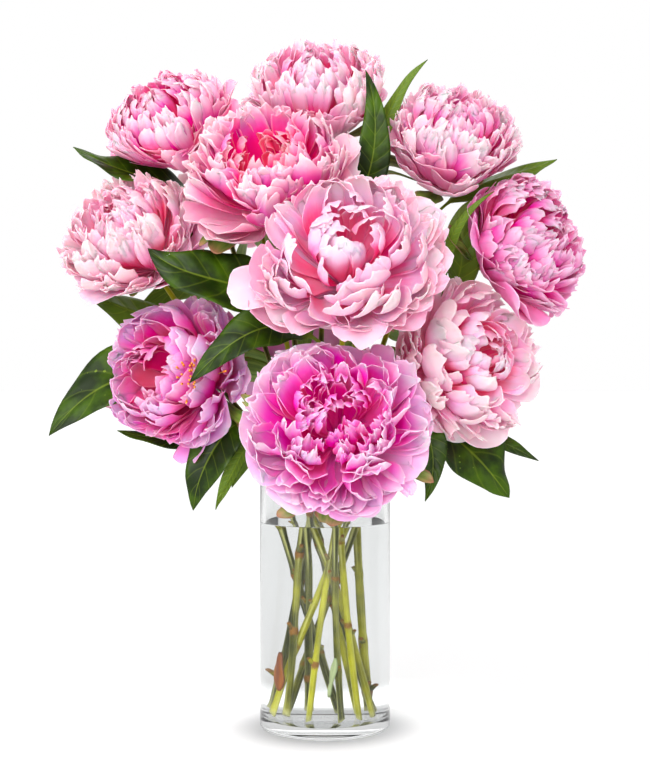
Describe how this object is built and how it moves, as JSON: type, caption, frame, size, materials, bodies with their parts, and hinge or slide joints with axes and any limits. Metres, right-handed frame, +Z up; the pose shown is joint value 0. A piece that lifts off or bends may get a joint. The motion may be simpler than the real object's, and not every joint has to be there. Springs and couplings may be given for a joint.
{
  "type": "vase of peonies",
  "caption": "Round bunch of large double pink peonies with dark green leaves in a clear glass cylinder vase of water.",
  "frame": {"origin": "middle of the vase's flat underside, where it stands", "axes": "+Z up along the vase's axis, -Y towards the front of the bunch, +X to the right seen from the front"},
  "size_m": [0.4212, 0.2757, 0.5409],
  "materials": {
    "clear_glass": "clear polished soda-lime glass",
    "water": "clear water, faintly green",
    "green_stem": "satin fresh stem, yellow green to olive",
    "dark_leaf": "satin waxy leaf with a pale midrib",
    "pale_guard_petal": "matte blush guard petals, paler at the edge",
    "pale_inner_petal": "matte blush inner petals, deeper in the folds",
    "rose_guard_petal": "matte rose pink guard petals, paler at the edge",
    "rose_inner_petal": "matte rose pink inner petals, deeper in the folds",
    "hot_guard_petal": "matte magenta pink guard petals, paler at the edge",
    "hot_inner_petal": "matte magenta pink inner petals, deeper in the folds"
  },
  "bodies": {
    "root": {"guard_petals_back_centre": "pale_guard_petal", "guard_petals_back_lower": "hot_guard_petal", "guard_petals_back_upper": "rose_guard_petal", "guard_petals_bottom_centre": "hot_guard_petal", "guard_petals_centre": "pale_guard_petal", "guard_petals_left": "pale_guard_petal", "guard_petals_lower_left": "hot_guard_petal", "guard_petals_lower_right": "pale_guard_petal", "guard_petals_right": "rose_guard_petal", "guard_petals_top": "rose_guard_petal", "guard_petals_upper_centre": "rose_guard_petal", "guard_petals_upper_left": "rose_guard_petal", "guard_petals_upper_right": "rose_guard_petal", "inner_petals_back_centre": "pale_inner_petal", "inner_petals_back_lower": "hot_inner_petal", "inner_petals_back_upper": "rose_inner_petal", "inner_petals_bottom_centre": "hot_inner_petal", "inner_petals_centre": "pale_inner_petal", "inner_petals_left": "pale_inner_petal", "inner_petals_lower_left": "hot_inner_petal", "inner_petals_lower_right": "pale_inner_petal", "inner_petals_right": "rose_inner_petal", "inner_petals_top": "rose_inner_petal", "inner_petals_upper_centre": "rose_inner_petal", "inner_petals_upper_left": "rose_inner_petal", "inner_petals_upper_right": "rose_inner_petal", "leaf_across_left": "dark_leaf", "leaf_across_lower_left": "dark_leaf", "leaf_back_left": "dark_leaf", "leaf_back_low": "dark_leaf", "leaf_back_right": "dark_leaf", "leaf_gap_right_dark": "dark_leaf", "leaf_gap_right_pale": "dark_leaf", "leaf_hanging_left": "dark_leaf", "leaf_hanging_left_thin": "dark_leaf", "leaf_hanging_right": "dark_leaf", "leaf_lower_left_broad": "dark_leaf", "leaf_lower_left_low": "dark_leaf", "leaf_lower_right_broad": "dark_leaf", "leaf_lower_right_long": "dark_leaf", "leaf_mid_left": "dark_leaf", "leaf_upper_left": "dark_leaf", "leaf_upper_right": "dark_leaf", "leaf_upright": "dark_leaf", "leaf_upright_thin": "dark_leaf", "stem_back_centre": "green_stem", "stem_back_lower": "green_stem", "stem_back_upper": "green_stem", "stem_bottom_centre": "green_stem", "stem_centre": "green_stem", "stem_left": "green_stem", "stem_lower_left": "green_stem", "stem_lower_right": "green_stem", "stem_right": "green_stem", "stem_top": "green_stem", "stem_upper_centre": "green_stem", "stem_upper_left": "green_stem", "stem_upper_right": "green_stem", "vase": "clear_glass", "water": "water"}
  },
  "joints": []
}
